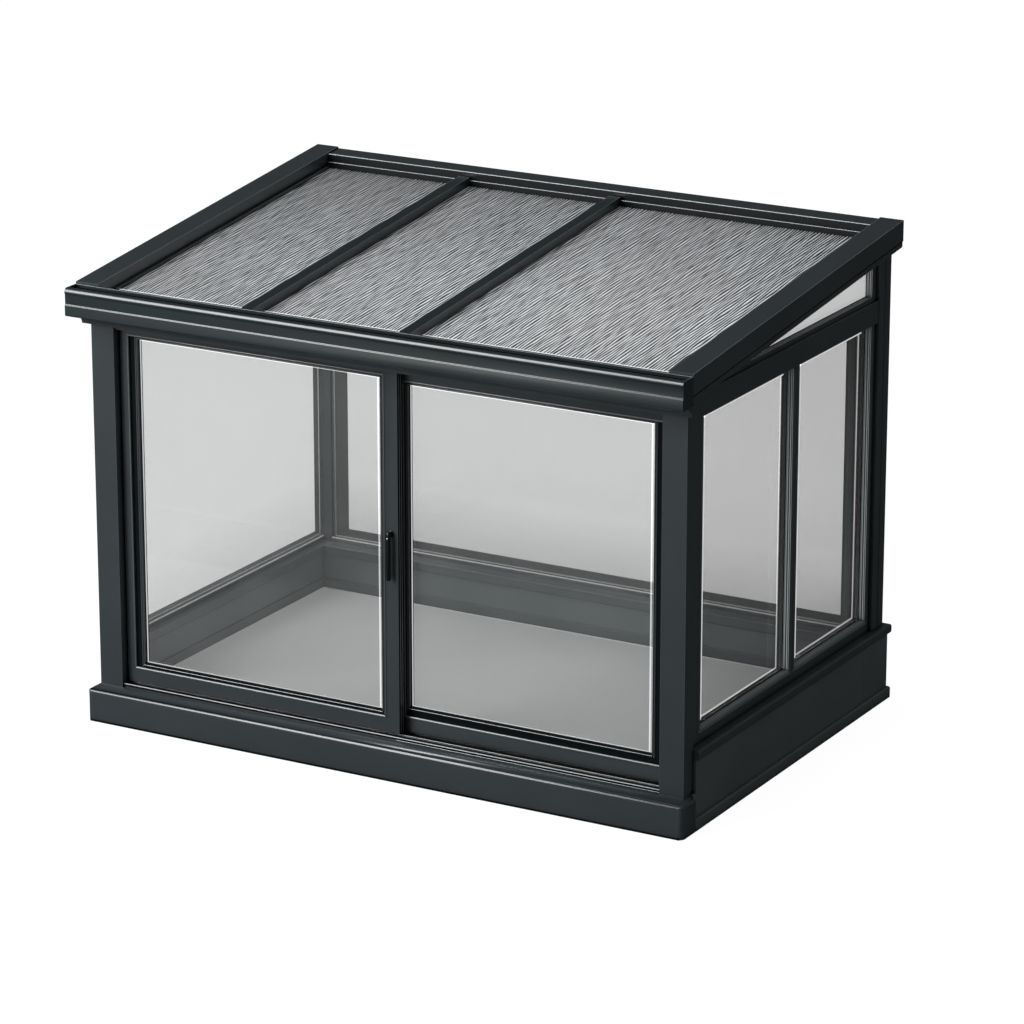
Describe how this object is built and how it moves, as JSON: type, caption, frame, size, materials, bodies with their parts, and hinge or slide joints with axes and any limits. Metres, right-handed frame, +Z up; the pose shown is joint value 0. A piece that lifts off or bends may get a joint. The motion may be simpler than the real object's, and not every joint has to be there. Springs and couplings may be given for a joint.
{
  "type": "lean-to conservatory",
  "caption": "Free-standing lean-to conservatory with dwarf walls, glazed sides and back, a ribbed sheet roof behind a box gutter, and a sliding glazed door.",
  "frame": {"origin": "middle of the footprint, on the ground", "axes": "+X to the right as seen from the door side, +Y to the back, +Z up"},
  "size_m": [3.33, 2.32, 2.4553],
  "materials": {
    "frame": "satin anthracite powder coat",
    "glass": "clear double glazing",
    "roof_sheet": "ribbed opal polycarbonate",
    "floor": "smooth grey floor board",
    "bearers": "plain coated steel",
    "track": "satin anthracite powder coat",
    "handle": "satin black",
    "rollers": "black nylon"
  },
  "bodies": {
    "building": {"front_plinth": "frame", "door_track": "track", "floor_deck": "floor", "floor_bearers": "bearers", "left_dwarf_wall": "frame", "right_dwarf_wall": "frame", "rear_dwarf_wall": "frame", "left_sill_cap": "frame", "right_sill_cap": "frame", "rear_sill_cap": "frame", "front_left_post": "frame", "front_right_post": "frame", "rear_left_post": "frame", "rear_right_post": "frame", "left_window_frame": "frame", "right_window_frame": "frame", "rear_window_frame": "frame", "left_pane": "glass", "right_panes": "glass", "rear_pane": "glass", "left_transom": "frame", "right_transom": "frame", "rear_transom": "frame", "left_top_light": "glass", "right_top_light": "glass", "rear_top_light": "glass", "door_header": "frame", "bed_mould": "frame", "gutter": "frame", "eaves_rail": "frame", "left_verge": "frame", "right_verge": "frame", "left_glazing_bar": "frame", "right_glazing_bar": "frame", "ridge_beam": "frame", "left_roof_sheet": "roof_sheet", "middle_roof_sheet": "roof_sheet", "right_roof_sheet": "roof_sheet", "fixed_leaf_frame": "frame", "fixed_leaf_glass": "glass"},
    "sliding_door": {"sliding_leaf_frame": "frame", "sliding_leaf_glass": "glass", "door_handle": "handle", "door_rollers": "rollers"}
  },
  "joints": [
    {"name": "door_slide", "type": "slide", "parent": "building", "child": "sliding_door", "axis": [1, 0, 0], "range_m": [0, 1.413]}
  ]
}
